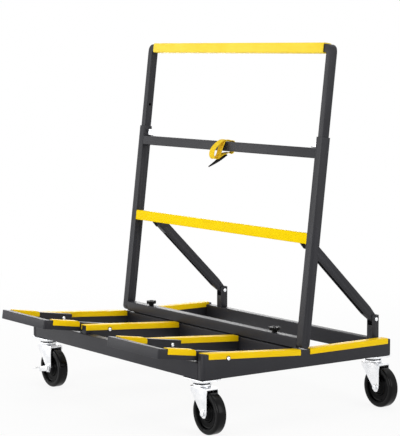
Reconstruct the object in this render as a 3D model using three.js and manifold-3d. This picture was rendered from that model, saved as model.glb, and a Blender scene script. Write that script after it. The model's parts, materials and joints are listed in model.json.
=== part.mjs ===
// Folding sheet goods cart in millimetres: +Z up, front towards -Y, +X to the right seen from the front.
import * as THREE from 'three';
import { mergeVertices } from 'three/addons/utils/BufferGeometryUtils.js';
import Module from 'manifold-3d';

const wasm = await Module();
wasm.setup();

// Clearances
const gap = 0.3; // between pieces that touch
const cutOver = 2; // how far a cutting shape runs past the face it opens
const mergeWithin = 1e-4; // vertices closer than this are one

// Base frame
const baseWidth = 950; // over the caps of the side rails
const baseDepth = 704;
const casterHeight = 157; // floor to the underside of the base
const railWidth = 24;
const railHeight = 51; // along the level rear part
const railWall = 2.5;
const railCornerRadius = 5;
const tubeCornerRadius = 3.3; // outer corners of the cross tubes
const kneeY = 354; // where the sloping deck meets the level rear part
const deckRise = 24; // from the knee to the front edge
const frontBeamDepth = 26;
const frontBeamHeight = 49;
const midBeamDepth = 28;
const midBeamHeight = 49.5;
const midBeamSetback = 2; // behind the knee
const rearBeamDepth = 26;
const rearBeamHeight = 46;
const deckBarX = 158; // centre of each inner deck bar from the middle
const deckBarSetback = 2; // behind the front edge

// Edge caps
const capWall = 2.5;
const capDrop = 17; // how far a cap reaches down the side of its rail
const capFrontSetback = 20; // of the side caps, behind the front edge
const capLip = 14; // how far the top of a side cap runs on to the front, on its inner side
const capEndGap = 3; // to the foot of the back frame
const capRearSetback = 13; // of the rear caps, ahead of the rear edge
const capNotchRadius = 8; // round the flap pivot bolts

// Rear posts and braces
const postInsetLeft = 105; // centre of the left post and brace from the side of the base
const postInsetRight = 70;
const postSize = 26;
const postWall = 2.4;
const postHeight = 71;
const postFrontHeight = 40; // of the front wall under the clevis opening
const bracePivotSetback = 14; // ahead of the rear edge
const bracePivotDrop = 12; // below the top of the post
const braceSideClearance = 0.7;
const braceDepth = 30;
const braceWall = 2.2;
const braceTailRadius = 10; // round the lower pivot
const braceTaper = 42; // length over which the tail widens
const pivotPinRadius = 5;
const pivotFit = 0.4; // radial, round pins and bolts
const jawClearance = 1.6; // radial, in the open jaw at the top of a brace
const jawAngle = 43.5; // of the jaw, degrees above the line of the brace

// Back frame, measured along and across its leaning plane
const frameLean = 6.8; // degrees back from upright
const tubeWidth = 26;
const tubeDepth = 30;
const tubeWall = 1.5;
const tubeLength = 605; // foot pivot to the top of the outer tube
const tubeFloor = 40; // solid foot above the pivot
const footHeight = 30; // of the foot bar
const crossbarDepth = 25;
const crossbarWall = 2;
const midRailFrom = 290;
const midRailHeight = 32;
const upperBarDrop = 33; // below the top of the outer tube
const upperBarHeight = 30;
const bracketOut = 27.5; // brace pivot behind the mid rail
const bracketDrop = 5; // brace pivot below the underside of the mid rail
const bracketPlate = 3;
const bracketEarRadius = 12;
const hingePlugLength = 32;
const hingePinRadius = 6;
const plugVent = 1; // drain slot each side of the plugs in the foot bar

// Knobs that clamp the foot bar to the mid beam
const knobInset = 147; // from the side of the base
const knobRadius = 15.5;
const knobHeight = 11;
const knobLobes = 6;
const knobLobeDepth = 2.2;
const knobLobeSteps = 8; // points in the outline of each lobe
const knobStem = 5; // height of the plain boss under the lobes
const knobBossRadius = 8;
const studRadius = 4;
const studNutRadius = 8;
const studNutHeight = 5;
const knobPadWidth = 44; // of the pads on the mid beam that carry the foot bar
const knobPadInset = 4; // from the front and rear faces of the mid beam
const nutFit = 1; // round the nut where it slides out of the mid beam

// Handle
const handleRise = 276; // top of the grip above the outer tube
const handleLegWidth = 22;
const handleLegDepth = 25;
const handleBarHeight = 24;
const handleWall = 2;
const handleCornerRadius = 26;
const handleInnerRadius = 6;
const handleEngaged = 120; // length of leg inside the outer tube
const gripWall = 3.2;
const gripEndSetback = 12; // from the inner faces of the handle's legs
const gripCornerRadius = 6;
const lockHoleRadius = 4.6;
const lockHolePitch = 100;
const snapPinDrop = 28; // below the top of the outer tube
const snapPinRadius = 4;
const snapPinReach = 34; // inboard of the upright
const fingerPostInset = 14; // from the upright to the middle of the post that a finger pulls
const fingerPostRadius = 4.5;
const fingerPostHeight = 18;

// Flaps
const flapPivotY = 88;
const flapPivotDrop = 12.6; // pivot below the top of the deck there
const flapAngle = 8; // degrees that a flap rises towards the front
const flapReach = 219; // pivot to the front face of the flap
const flapTail = 32; // arm behind the pivot
const flapHeight = 28;
const flapBarDepth = 26;
const flapArmWidth = 18;
const flapSideClearance = 2.4; // between an arm cap and the cap beside it
const flapCornerRadius = 5;
const flapWall = 2;
const armCapLength = 96;
const armCapDrop = 17;
const boltHeadRadius = 5.8;
const boltHeadHeight = 5;
const boltRadius = 4;
const stopRadius = 6.5;
const stopSetback = 13; // behind the front edge

// Casters
const swivelInset = 50; // from the sides of the base
const swivelFrontSetback = 32; // from the front edge
const swivelRearSetback = 28; // from the rear edge
const wheelRadius = 62.5;
const wheelWidth = 32;
const wheelTrail = 36;
const wheelBoreFit = 0.4;
const wheelHubRadius = 21;
const wheelTreadRadius = 46; // inner edge of the tyre on the side faces
const wheelRecess = 5;
const wheelShoulder = 7; // radial height of the tyre's rounded shoulder
const shoulderDepth = 4.2; // side face to the top of the shoulder
const treadCrown = 1.5; // rise of the tread to its middle
const treadEdge = 9.8; // side face to the level part of the tread
const hubTaper = 3;
const rimBevel = 4;
const axleRadius = 5;
const axleHeadRadius = 9;
const axleHeadHeight = 6;
const forkWall = 3.5;
const forkSideClearance = 2.5;
const forkCrownThickness = 5;
const forkTopWidth = 58;
const forkEyeRadius = 14;
const forkWheelClearance = 4;
const plateLength = 96;
const plateWidth = 70;
const plateThickness = 4;
const plateHoleInset = 13;
const raceRadius = 29;
const raceChamfer = 3;
const kingpinRadius = 7;
const plateBoltHeadRadius = 6.5;
const plateBoltHeadHeight = 4;
const pedalThickness = 4;
const pedalRingRadius = 13;
const pedalReach = 52;
const pedalArmWidth = 14.3;
const pedalTipWidth = 22;
const pedalTipDepth = 16;
const pedalSwing = 12; // degrees that a pedal hangs below level

// Strap on the upper crossbar
const strapX = -4; // centre of the band from the middle
const strapWidth = 26;
const strapThickness = 2.4;
const strapSlackMiddle = 28; // how far the band bows out ahead of the crossbar at a third of its height
const strapSlackFront = 35; // the same below the crossbar
const strapSlackLow = 25; // the same where it hangs lowest
const strapSlackUnder = 28; // how far it hangs below the crossbar
const strapNeck = 5; // how far ahead of the crossbar it turns back under it
const strapNeckDrop = 15;
const strapBackDrop = 3.7; // where it turns up behind the crossbar
const strapSteps = 48;
const strapTailSetback = 2; // from the front of the crossbar to where the tail leaves the band
const strapTailRootDrop = 14.5; // the same below the crossbar
const strapTailReach = 32; // how far the tip lies ahead of the root
const strapTailDrop = 41; // the same below it
const strapTailSag = 1.5;
const strapTailSweep = 33; // how far the tip lies to the left of the root
const strapTailTip = 6; // width at the tip
const strapSeat = 0.9; // between the band and the crossbar behind it, and the band and its tail

// Round shapes
const roundSides = 12;
const wheelSides = 24;
const hexSides = 6;
const cornerSteps = 4; // in a rounded corner of a tube or plate
const bendSteps = 6; // in a rounded corner that shows
const endSteps = 8; // in a half round end

const radians = THREE.MathUtils.degToRad;
const axisX = new THREE.Vector3(1, 0, 0);
const axisY = new THREE.Vector3(0, 1, 0);
const axisZ = new THREE.Vector3(0, 0, 1);

// Levels and faces that several pieces share
const halfWidth = baseWidth / 2;
const postAt = (side) => (side > 0 ? halfWidth - postInsetRight : postInsetLeft - halfWidth);
const knobX = halfWidth - knobInset;
const swivelX = halfWidth - swivelInset;
const railOuter = halfWidth - capWall - gap;
const railInner = railOuter - railWidth;
const railTop = casterHeight + railHeight;
const capTop = railTop + gap + capWall;
const capWidth = railWidth + 2 * (gap + capWall);
const frontBeamTop = casterHeight + frontBeamHeight;
const midBeamFront = kneeY + midBeamSetback;
const midBeamTop = casterHeight + midBeamHeight;
const rearBeamTop = casterHeight + rearBeamHeight;
const footLevel = capTop + gap;
const footFront = kneeY + gap;
const footPivotY = footFront + tubeDepth / 2;
const footPivotZ = footLevel + footHeight / 2;
const braceWidth = postSize - 2 * (postWall + braceSideClearance);
const bracePivotY = baseDepth - bracePivotSetback;
const bracePivotZ = rearBeamTop + gap + postHeight - bracePivotDrop;
const tubeCentreX = halfWidth - tubeWidth / 2;
const tubeInner = halfWidth - tubeWidth;
const frameFront = -tubeDepth / 2;
const upperBarFrom = tubeLength - upperBarDrop - upperBarHeight;
const handleTop = tubeLength + handleRise;
const midRailBack = frameFront + crossbarDepth;
const bracketAcross = midRailBack + bracketOut;
const bracketAlong = midRailFrom - bracketDrop;
const lean = radians(frameLean);
const deckTop = (y) => railTop + (Math.max(0, kneeY - y) * deckRise) / kneeY;
const flapPivotZ = deckTop(flapPivotY) - flapPivotDrop;

// Materials
const finish = (color, roughness, metalness) => {
  return new THREE.MeshStandardMaterial({ color, roughness, metalness });
};
const darkCoat = finish('#3d3d41', 0.55, 0.2);
const yellowCap = finish('#f6cb10', 0.5, 0);
const yellowCoat = finish('#f4c90f', 0.45, 0.1);
const zinc = finish('#c9ccd0', 0.3, 1);
const blackPlastic = finish('#17171a', 0.5, 0);
const wheelRubber = finish('#1d1d20', 0.6, 0);
const yellowWeb = finish('#f0c81e', 0.9, 0);
const blackWeb = finish('#1b1b1c', 0.95, 0);

// A geometry with shared vertices and no empty triangles
function closed(geometry) {
  const bare = geometry.clone();
  bare.deleteAttribute('normal');
  bare.deleteAttribute('uv');
  const merged = mergeVertices(bare, mergeWithin);
  const corners = merged.index.array;
  const kept = [];
  for (let i = 0; i < corners.length; i += 3) {
    const [a, b, c] = corners.subarray(i, i + 3);
    if (a !== b && b !== c && c !== a) {
      kept.push(a, b, c);
    }
  }
  merged.setIndex(kept);
  return merged;
}

function toManifold(geometry) {
  const merged = closed(geometry);
  const vertProperties = new Float32Array(merged.attributes.position.array);
  const triVerts = new Uint32Array(merged.index.array);
  return new wasm.Manifold(new wasm.Mesh({ numProp: 3, vertProperties, triVerts }));
}

function fromManifold(manifold) {
  const mesh = manifold.getMesh();
  const geometry = new THREE.BufferGeometry();
  geometry.setAttribute('position', new THREE.BufferAttribute(mesh.vertProperties, 3));
  geometry.setIndex(new THREE.BufferAttribute(mesh.triVerts, 1));
  return geometry;
}

function cut(body, ...tools) {
  return fromManifold(tools.reduce((rest, tool) => rest.subtract(toManifold(tool)), toManifold(body)));
}

function join(body, ...others) {
  return fromManifold(others.reduce((sum, other) => sum.add(toManifold(other)), toManifold(body)));
}

function common(body, other) {
  return fromManifold(toManifold(body).intersect(toManifold(other)));
}

// An outline of points [across, up, corner radius]
function outline(points) {
  const shape = new THREE.Shape();
  points.forEach(([x, y, radius = 0], i) => {
    const here = new THREE.Vector2(x, y);
    const before = new THREE.Vector2(...points.at(i - 1).slice(0, 2));
    const after = new THREE.Vector2(...points[(i + 1) % points.length].slice(0, 2));
    const enter = here.clone().add(before.sub(here).setLength(radius));
    const leave = here.clone().add(after.sub(here).setLength(radius));
    if (i === 0) {
      shape.moveTo(enter.x, enter.y);
    } else {
      shape.lineTo(enter.x, enter.y);
    }
    if (radius > 0) {
      shape.quadraticCurveTo(here.x, here.y, leave.x, leave.y);
    }
  });
  shape.closePath();
  return shape;
}

function rectangle(x0, y0, x1, y1, radius = 0) {
  return outline([[x0, y0, radius], [x1, y0, radius], [x1, y1, radius], [x0, y1, radius]]);
}

function ringHole(shape, x, y, radius) {
  const hole = new THREE.Path();
  hole.absarc(x, y, radius, 0, Math.PI * 2, true);
  shape.holes.push(hole);
  return shape;
}

function extrude(shape, depth, curveSegments = cornerSteps) {
  return new THREE.ExtrudeGeometry(shape, { depth, bevelEnabled: false, curveSegments });
}

// Extrusions of outlines drawn in the side plane (Y, Z), the front plane (X, Z) and the plan (X, Y)
function alongX(shape, from, to, curveSegments) {
  const turn = new THREE.Matrix4().makeBasis(axisY, axisZ, axisX);
  return extrude(shape, to - from, curveSegments).applyMatrix4(turn).translate(from, 0, 0);
}

function alongY(shape, from, to, curveSegments) {
  const turn = new THREE.Matrix4().makeBasis(axisX, axisZ, axisY.clone().negate());
  return extrude(shape, to - from, curveSegments).applyMatrix4(turn).translate(0, to, 0);
}

function alongZ(shape, from, to, curveSegments) {
  return extrude(shape, to - from, curveSegments).translate(0, 0, from);
}

function block(x0, x1, y0, y1, z0, z1) {
  return alongZ(rectangle(x0, y0, x1, y1), z0, z1);
}

// A turned piece from points [radius, place along the axis]
function turned(profile, axis, sides = roundSides) {
  const points = profile.map(([radius, place]) => new THREE.Vector2(radius, place));
  const geometry = new THREE.LatheGeometry(points, sides);
  if (axis === axisX) {
    return geometry.rotateZ(-Math.PI / 2);
  }
  return axis === axisZ ? geometry.rotateX(Math.PI / 2) : geometry;
}

function rod(radius, from, to, axis, sides) {
  return turned([[0, from], [radius, from], [radius, to], [0, to]], axis, sides);
}

// A bolt with a head at each end of its grip
function doubleHeaded(radius, headRadius, headHeight, from, to, axis, sides) {
  const profile = [
    [0, from - headHeight],
    [headRadius, from - headHeight],
    [headRadius, from],
    [radius, from],
    [radius, to],
    [headRadius, to],
    [headRadius, to + headHeight],
    [0, to + headHeight],
  ];
  return turned(profile, axis, sides);
}

// A rectangular tube with open ends, its section drawn in the side plane
function tubeAlongX(y0, y1, z0, z1, wall, reach) {
  const section = rectangle(y0, z0, y1, z1, tubeCornerRadius);
  section.holes.push(rectangle(y0 + wall, z0 + wall, y1 - wall, z1 - wall));
  return alongX(section, -reach, reach);
}

const group = (parent, x = 0, y = 0, z = 0) => {
  const made = new THREE.Group();
  made.position.set(x, y, z);
  parent.add(made);
  return made;
};

const place = (parent, name, geometry, material) => {
  const mesh = new THREE.Mesh(closed(geometry), material);
  mesh.geometry.computeVertexNormals();
  mesh.name = name;
  parent.add(mesh);
  return mesh;
};

const cart = new THREE.Group();
const base = group(cart);
const sides = [['left', -1], ['right', 1]];

// Across-the-cart span given for the right side, for either side
const spanFor = (side, inner, outer) => (side > 0 ? [inner, outer] : [-outer, -inner]);

// Side rails: hollow, open at the rear, level behind the knee and rising ahead of it
function sideRail(side) {
  const top = railTop + deckRise;
  const body = outline([
    [0, casterHeight, railCornerRadius],
    [baseDepth, casterHeight, railCornerRadius],
    [baseDepth, railTop, railCornerRadius],
    [kneeY, railTop],
    [0, top, railCornerRadius],
  ]);
  const bore = outline([
    [railWall, casterHeight + railWall],
    [baseDepth + cutOver, casterHeight + railWall],
    [baseDepth + cutOver, railTop - railWall],
    [kneeY, railTop - railWall],
    [railWall, top - railWall],
  ]);
  const [from, to] = spanFor(side, railInner, railOuter);
  const boltHole = rod(boltRadius + pivotFit, from - cutOver, to + cutOver, axisX);
  boltHole.translate(0, flapPivotY, flapPivotZ);
  return cut(alongX(body, from, to), alongX(bore, from + railWall, to - railWall), boltHole);
}

// Inner deck bars: hollow, coped over the front beam
function deckBar(centre) {
  const rear = midBeamFront - gap;
  const coped = frontBeamDepth + gap;
  const body = outline([
    [deckBarSetback, frontBeamTop + gap],
    [coped, frontBeamTop + gap],
    [coped, casterHeight],
    [rear, casterHeight],
    [rear, deckTop(rear)],
    [deckBarSetback, deckTop(deckBarSetback)],
  ]);
  const boreFront = coped + railWall;
  const boreRear = rear + cutOver;
  const bore = outline([
    [boreFront, casterHeight + railWall],
    [boreRear, casterHeight + railWall],
    [boreRear, deckTop(rear) - railWall],
    [boreFront, deckTop(boreFront) - railWall],
  ]);
  const from = centre - railWidth / 2;
  const to = centre + railWidth / 2;
  const boltHole = rod(boltRadius + pivotFit, from - cutOver, to + cutOver, axisX);
  boltHole.translate(0, flapPivotY, flapPivotZ);
  return cut(alongX(body, from, to), alongX(bore, from + railWall, to - railWall), boltHole);
}

// Edge caps: an inverted channel over a rail, notched where a flap bolt crosses it
function deckCap(centre, front, rear, notched) {
  const lift = gap + capWall;
  const shell = outline([
    [front, deckTop(front) + lift - capDrop],
    [rear, deckTop(rear) + lift - capDrop],
    [rear, deckTop(rear) + lift],
    [front, deckTop(front) + lift],
  ]);
  const hollow = outline([
    [front - cutOver, deckTop(front - cutOver) - capDrop],
    [rear + cutOver, deckTop(rear + cutOver) - capDrop],
    [rear + cutOver, deckTop(rear + cutOver) + gap],
    [front - cutOver, deckTop(front - cutOver) + gap],
  ]);
  const half = capWidth / 2;
  const inside = half - capWall;
  const tools = [alongX(hollow, centre - inside, centre + inside)];
  if (notched) {
    const notch = rod(capNotchRadius, centre - half - cutOver, centre + half + cutOver, axisX);
    tools.push(notch.translate(0, flapPivotY, flapPivotZ));
  }
  return cut(alongX(shell, centre - half, centre + half), ...tools);
}

// The top of a side cap runs on past its sides, cut off slantwise where the rail's front corner is rounded
function capLipPlate(side, centre, front) {
  const tip = front - capLip;
  const root = front + capWall;
  const lift = gap + capWall;
  const plate = outline([
    [tip, deckTop(tip) + gap],
    [root, deckTop(root) + gap],
    [root, deckTop(root) + lift],
    [tip, deckTop(tip) + lift],
  ]);
  const half = capWidth / 2;
  const inner = centre - (side * capWidth) / 2;
  const outer = centre + (side * capWidth) / 2;
  const plan = outline([[inner, tip], [outer, front], [outer, root], [inner, root]]);
  return common(alongX(plate, centre - half, centre + half), alongZ(plan, railTop, deckTop(tip) + 2 * lift));
}

for (const [label, side] of sides) {
  const railCentre = side * (railInner + railWidth / 2);
  const frontCapRear = kneeY - capEndGap;
  const rearCapFront = footFront + tubeDepth + capEndGap;
  const barCapFront = deckBarSetback;
  place(base, `side_rail_${label}`, sideRail(side), darkCoat);
  place(base, `deck_bar_${label}`, deckBar(side * deckBarX), darkCoat);
  const sideCap = deckCap(railCentre, capFrontSetback, frontCapRear, true);
  const lip = capLipPlate(side, railCentre, capFrontSetback);
  place(base, `front_cap_${label}`, join(sideCap, lip), yellowCap);
  place(base, `deck_bar_cap_${label}`, deckCap(side * deckBarX, barCapFront, frontCapRear, true), yellowCap);
  const rearCap = deckCap(railCentre, rearCapFront, baseDepth - capRearSetback, false);
  place(base, `rear_cap_${label}`, rearCap, yellowCap);
}

// Cross beams, with a pad on the mid beam under each knob, slotted to the rear for the stud and its nut
const beamReach = railInner - gap;
const frontBeam = tubeAlongX(0, frontBeamDepth, casterHeight, frontBeamTop, railWall, beamReach);
const rearBeamFront = baseDepth - rearBeamDepth;
const rearReach = beamReach - capWall - gap;
const rearBeam = tubeAlongX(rearBeamFront, baseDepth, casterHeight, rearBeamTop, railWall, rearReach);
place(base, 'rear_beam', rearBeam, darkCoat);

const midBeamRear = midBeamFront + midBeamDepth;
const studFit = studRadius + pivotFit;
const nutTop = midBeamTop - railWall - gap;
const midBeamTube = tubeAlongX(midBeamFront, midBeamRear, casterHeight, midBeamTop, railWall, beamReach);
const knobPads = [-knobX, knobX].map((x) => {
  const half = knobPadWidth / 2;
  const [front, rear] = [midBeamFront + knobPadInset, midBeamRear - knobPadInset];
  return block(x - half, x + half, front, rear, midBeamTop - railWall / 2, capTop);
});
const studSlots = [-knobX, knobX].flatMap((x) => {
  const rear = midBeamRear + cutOver;
  const nutHalf = studNutRadius + nutFit;
  const nutUnder = nutTop - studNutHeight - nutFit;
  return [
    block(x - studFit, x + studFit, footPivotY - studFit, rear, midBeamTop - 2 * railWall, capTop + cutOver),
    block(x - nutHalf, x + nutHalf, midBeamRear - 2 * railWall, rear, nutUnder, midBeamTop - railWall),
  ];
});
place(base, 'mid_beam', cut(join(midBeamTube, ...knobPads), ...studSlots), darkCoat);

// Rear posts: clevises open at the top and front
function post(side) {
  const half = postSize / 2;
  const front = baseDepth - postSize;
  const foot = rearBeamTop + gap;
  const top = foot + postHeight;
  const x = postAt(side);
  const body = block(x - half, x + half, front, baseDepth, foot, top);
  const inside = half - postWall;
  const wellRear = baseDepth - postWall;
  const well = block(x - inside, x + inside, front + postWall, wellRear, foot + postWall, top + cutOver);
  const mouthFloor = foot + postFrontHeight;
  const mouthRear = front + 2 * postWall;
  const mouth = block(x - inside, x + inside, front - cutOver, mouthRear, mouthFloor, top + cutOver);
  const hole = rod(boltRadius + pivotFit, x - half - cutOver, x + half + cutOver, axisX);
  hole.translate(0, bracePivotY, bracePivotZ);
  return cut(body, well, mouth, hole);
}

for (const [label, side] of sides) {
  place(base, `rear_post_${label}`, post(side), darkCoat);
  const grip = postSize / 2 + gap;
  const centre = postAt(side);
  const bolt = doubleHeaded(boltRadius, boltHeadRadius, boltHeadHeight, centre - grip, centre + grip, axisX);
  place(base, `brace_pivot_bolt_${label}`, bolt.translate(0, bracePivotY, bracePivotZ), zinc);
}

// Foot bar: slides rearwards over the rails, bored for the knobs, with a hinge pin at each end
const foot = group(cart);
const footRear = footFront + tubeDepth;
const footTop = footLevel + footHeight;
const footReach = tubeInner - gap;
const footTube = tubeAlongX(footFront, footRear, footLevel, footTop, crossbarWall, footReach);
const hingePins = sides.map(([, side]) => {
  const plugHalf = tubeDepth / 2 - crossbarWall - plugVent;
  const plugHeight = footHeight / 2 - crossbarWall / 2;
  const [plugFrom, plugTo] = spanFor(side, footReach - hingePlugLength, footReach);
  const plug = alongX(rectangle(-plugHalf, -plugHeight, plugHalf, plugHeight), plugFrom, plugTo);
  const [pinFrom, pinTo] = spanFor(side, footReach - hingePlugLength / 2, halfWidth - gap);
  const pin = rod(hingePinRadius, pinFrom, pinTo, axisX);
  return join(plug, pin).translate(0, footPivotY, footPivotZ);
});
const studHoles = [-knobX, knobX].map((x) => {
  return rod(studFit, footLevel - cutOver, footTop + cutOver, axisZ).translate(x, footPivotY, 0);
});
place(foot, 'foot_bar', cut(join(footTube, ...hingePins), ...studHoles), darkCoat);

// Knobs: lobed head, boss and stud, with the nut that grips the mid beam from inside
function knob() {
  const lobes = new THREE.Shape();
  const steps = knobLobes * knobLobeSteps;
  for (let i = 0; i <= steps; i += 1) {
    const angle = (i / steps) * Math.PI * 2;
    const radius = knobRadius - knobLobeDepth * (1 - Math.cos(knobLobes * angle));
    const [x, y] = [radius * Math.cos(angle), radius * Math.sin(angle)];
    if (i === 0) {
      lobes.moveTo(x, y);
    } else {
      lobes.lineTo(x, y);
    }
  }
  const seat = footTop + gap;
  const headFrom = seat + knobStem;
  const head = alongZ(lobes, headFrom, headFrom + knobHeight);
  const stem = turned([
    [0, nutTop - studNutHeight],
    [studNutRadius, nutTop - studNutHeight],
    [studNutRadius, nutTop],
    [studRadius, nutTop],
    [studRadius, seat],
    [knobBossRadius, seat],
    [knobBossRadius, headFrom + knobHeight / 2],
    [0, headFrom + knobHeight / 2],
  ], axisZ);
  return join(head, stem);
}

for (const [label, side] of sides) {
  place(group(foot, side * knobX, footPivotY, 0), `clamp_knob_${label}`, knob(), blackPlastic);
}

// Back frame: drawn upright about its foot pivot, then leaned back
const frame = group(foot, 0, footPivotY, footPivotZ);
frame.rotation.x = -lean;
const snapPinAlong = tubeLength - snapPinDrop;

function upright(side) {
  const half = tubeDepth / 2;
  const body = new THREE.Shape();
  body.moveTo(half, 0);
  body.lineTo(half, tubeLength);
  body.lineTo(-half, tubeLength);
  body.lineTo(-half, 0);
  body.absarc(0, 0, half, Math.PI, Math.PI * 2, false);
  const [from, to] = spanFor(side, tubeInner, halfWidth);
  const bore = block(
    from + tubeWall,
    to - tubeWall,
    -half + tubeWall,
    half - tubeWall,
    tubeFloor,
    tubeLength + cutOver,
  );
  const pinHole = rod(hingePinRadius + pivotFit, from - cutOver, to + cutOver, axisX);
  const [holeFrom, holeTo] = spanFor(side, tubeInner - cutOver, tubeInner + cutOver);
  const snapHole = rod(snapPinRadius + pivotFit, holeFrom, holeTo, axisX).translate(0, 0, snapPinAlong);
  return cut(alongX(body, from, to, endSteps), bore, pinHole, snapHole);
}

for (const [label, side] of sides) {
  place(frame, `upright_${label}`, upright(side), darkCoat);
}

function crossbar(from, height) {
  return tubeAlongX(frameFront, midRailBack, from, from + height, crossbarWall, footReach);
}

place(frame, 'upper_crossbar', crossbar(upperBarFrom, upperBarHeight), darkCoat);

// Mid rail, with welded brackets behind it that carry the upper pins of the braces
function braceBracket(side) {
  const x = postAt(side);
  const plateFront = midRailBack - crossbarWall / 2;
  const plateTop = midRailFrom + midRailHeight;
  const earShape = outline([
    [plateFront, bracketAlong + bracketPlate],
    [bracketAcross - bracketEarRadius, bracketAlong - bracketEarRadius, bracketPlate],
    [bracketAcross + bracketEarRadius, bracketAlong - bracketEarRadius, bracketEarRadius],
    [bracketAcross + bracketEarRadius, bracketAlong + bracketEarRadius, bracketEarRadius],
    [plateFront + bracketPlate, plateTop],
    [plateFront, plateTop],
  ]);
  const inner = braceWidth / 2 + braceSideClearance;
  const outer = inner + bracketPlate;
  const ears = [[-outer, -inner], [inner, outer]].map(([from, to]) => {
    return alongX(earShape, x + from, x + to, bendSteps);
  });
  const web = block(x - outer, x + outer, plateFront, plateFront + bracketPlate, midRailFrom, plateTop);
  const pin = rod(pivotPinRadius, x - outer, x + outer, axisX).translate(0, bracketAcross, bracketAlong);
  return join(web, ...ears, pin);
}

const brackets = sides.map(([, side]) => braceBracket(side));
place(frame, 'mid_rail', join(crossbar(midRailFrom, midRailHeight), ...brackets), yellowCoat);

// Strap: a slack band round the upper crossbar and a tapered tail
const strapRoute = [
  [midRailBack + strapSeat, upperBarFrom + upperBarHeight + strapSeat],
  [frameFront - strapSeat, upperBarFrom + upperBarHeight + strapSeat],
  [frameFront - strapSlackMiddle, upperBarFrom + upperBarHeight / 3],
  [frameFront - strapSlackFront, upperBarFrom - strapSlackUnder / 3],
  [frameFront - strapSlackLow, upperBarFrom - strapSlackUnder],
  [frameFront - strapNeck, upperBarFrom - strapNeckDrop],
  [midRailBack - crossbarDepth / 2, upperBarFrom - strapBackDrop - strapThickness],
  [midRailBack + strapSeat, upperBarFrom - strapBackDrop],
  [midRailBack + strapSeat, upperBarFrom + upperBarHeight / 2],
];

// The band's loop in the side plane, moved outwards by the given distance
function strapLoop(out) {
  const curve = new THREE.CatmullRomCurve3(strapRoute.map(([y, z]) => new THREE.Vector3(0, y, z)), true);
  const loop = new THREE.Shape();
  for (let i = 0; i < strapSteps; i += 1) {
    const at = curve.getPoint(i / strapSteps);
    const along = curve.getTangent(i / strapSteps);
    const [y, z] = [at.y + along.z * out, at.z - along.y * out];
    if (i === 0) {
      loop.moveTo(y, z);
    } else {
      loop.lineTo(y, z);
    }
  }
  loop.closePath();
  return loop;
}

const strapRing = strapLoop(strapThickness);
strapRing.holes.push(strapLoop(0));
const strapFrom = strapX - strapWidth / 2;
place(frame, 'strap_band', alongX(strapRing, strapFrom, strapFrom + strapWidth), yellowWeb);
const tailRoot = new THREE.Vector2(frameFront + strapTailSetback, upperBarFrom - strapTailRootDrop);
const tailTip = tailRoot.clone().sub(new THREE.Vector2(strapTailReach, strapTailDrop));
const tailRun = tailTip.clone().sub(tailRoot).normalize();
const tailBack = new THREE.Vector2(-tailRun.y, tailRun.x); // out of the tail's rear face
const tailMiddle = tailRoot.clone().lerp(tailTip, 0.5).addScaledVector(tailBack, strapTailSag);
const tailFace = [tailRoot, tailMiddle, tailTip];
const tailRear = tailFace.map((at) => at.clone().addScaledVector(tailBack, strapThickness)).reverse();
const tailSide = outline([...tailFace, ...tailRear].map(({ x, y }) => [x, y]));
const tail = alongX(tailSide, strapFrom, strapFrom + strapWidth);
const tailPoints = tail.attributes.position;
for (let i = 0; i < tailPoints.count; i += 1) {
  const along = (tailRoot.y - tailPoints.getZ(i)) / strapTailDrop;
  const share = 1 + (strapTailTip / strapWidth - 1) * along;
  tailPoints.setX(i, strapX + (tailPoints.getX(i) - strapX) * share - strapTailSweep * along);
}
place(frame, 'strap_tail', tail, blackWeb);

// Handle: one bent tube, open at the ends of its legs, which slide in the uprights, and its grip
const handle = group(frame);
const gripHeight = handleBarHeight + 2 * (gap + gripWall);
const barTop = handleTop - gap - gripWall;
const barUnder = barTop - handleBarHeight;
const legEnd = tubeLength - handleEngaged;
const legOuter = tubeCentreX + handleLegWidth / 2;
const legInner = tubeCentreX - handleLegWidth / 2;
const handleOutline = outline([
  [-legOuter, legEnd],
  [-legInner, legEnd],
  [-legInner, barUnder, handleInnerRadius],
  [legInner, barUnder, handleInnerRadius],
  [legInner, legEnd],
  [legOuter, legEnd],
  [legOuter, barTop, handleCornerRadius],
  [-legOuter, barTop, handleCornerRadius],
]);
const boreOuter = legOuter - handleWall;
const boreInner = legInner + handleWall;
const boreEnd = legEnd - cutOver;
const handleBore = outline([
  [-boreOuter, boreEnd],
  [-boreInner, boreEnd],
  [-boreInner, barUnder + handleWall],
  [boreInner, barUnder + handleWall],
  [boreInner, boreEnd],
  [boreOuter, boreEnd],
  [boreOuter, barTop - handleWall, handleCornerRadius],
  [-boreOuter, barTop - handleWall, handleCornerRadius],
]);
const handleHalf = handleLegDepth / 2;
const boreHalf = handleHalf - handleWall;
const lockHoles = sides.flatMap(([, side]) => [0, lockHolePitch].map((offset) => {
  const [from, to] = spanFor(side, legInner - cutOver, boreInner + cutOver);
  return rod(lockHoleRadius, from, to, axisX).translate(0, 0, snapPinAlong + offset);
}));
const handleSolid = alongY(handleOutline, -handleHalf, handleHalf, bendSteps);
const handleTube = cut(handleSolid, alongY(handleBore, -boreHalf, boreHalf, bendSteps), ...lockHoles);
place(handle, 'handle_tube', handleTube, darkCoat);
const gripHalf = handleHalf + gap + gripWall;
const gripSection = rectangle(-gripHalf, handleTop - gripHeight, gripHalf, handleTop, gripCornerRadius);
gripSection.holes.push(rectangle(-handleHalf - gap, barUnder - gap, handleHalf + gap, barTop + gap));
const gripReach = legInner - gripEndSetback;
place(handle, 'handle_grip', alongX(gripSection, -gripReach, gripReach), yellowCap);

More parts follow.
